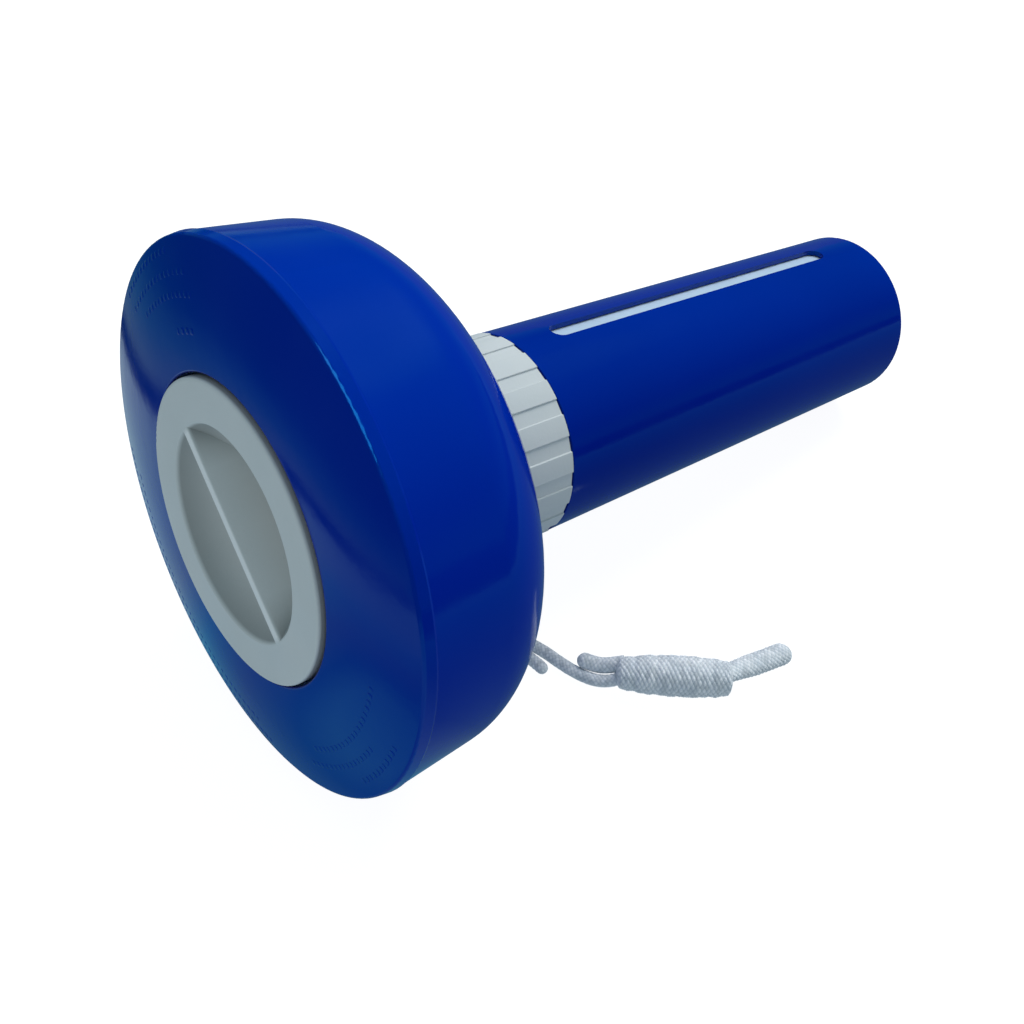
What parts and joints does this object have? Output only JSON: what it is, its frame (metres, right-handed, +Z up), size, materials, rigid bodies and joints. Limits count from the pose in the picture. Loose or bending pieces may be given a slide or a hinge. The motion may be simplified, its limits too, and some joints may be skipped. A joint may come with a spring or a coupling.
{
  "type": "floating chlorine dispenser",
  "caption": "Pool chemical float with a twist-off cap, ribbed collar, slotted tube that turns on an inner sleeve, and a braided tether, lying on its side.",
  "frame": {"origin": "on the floor, at the middle of the object's box without its tether", "axes": "+Z up as it lies, +X level and along the object from the cap to the tube's end, tether on the -Y side"},
  "size_m": [0.2128, 0.1357, 0.127],
  "materials": {
    "float_blue": "glossy moulded plastic",
    "tube_blue": "glossy moulded plastic",
    "cap_white": "finely textured moulded plastic",
    "collar_white": "satin moulded plastic",
    "sleeve_white": "satin moulded plastic",
    "gasket_grey": "matt rubber",
    "cord_grey": "braided nylon"
  },
  "bodies": {
    "float": {"float_face_shell": "float_blue", "float_back_shell": "float_blue", "ribbed_collar": "collar_white", "flow_sleeve": "sleeve_white", "tether_knot": "cord_grey", "tether_cord": "cord_grey", "tether_tail": "cord_grey", "tether_end": "cord_grey", "tether_sleeve": "cord_grey", "tether_bight": "cord_grey"},
    "gasket": {"cap_gasket": "gasket_grey"},
    "cap": {"cap_body": "cap_white", "cap_skirt": "cap_white"},
    "tube": {"outer_tube": "tube_blue"}
  },
  "joints": [
    {"name": "tube_turn", "type": "hinge", "parent": "float", "child": "tube", "pos_m": [-0.09261, 0, 0.06546], "axis": [0.9763, 0, -0.2165], "range_deg": [0, 45]},
    {"name": "cap_lift", "type": "slide", "parent": "float", "child": "gasket", "axis": [-0.9763, 0, 0.2165], "range_m": [0, 0.04]},
    {"name": "cap_turn", "type": "hinge", "parent": "gasket", "child": "cap", "pos_m": [-0.09261, 0, 0.06546], "axis": [0.9763, 0, -0.2165], "range_deg": [0, 50]}
  ]
}
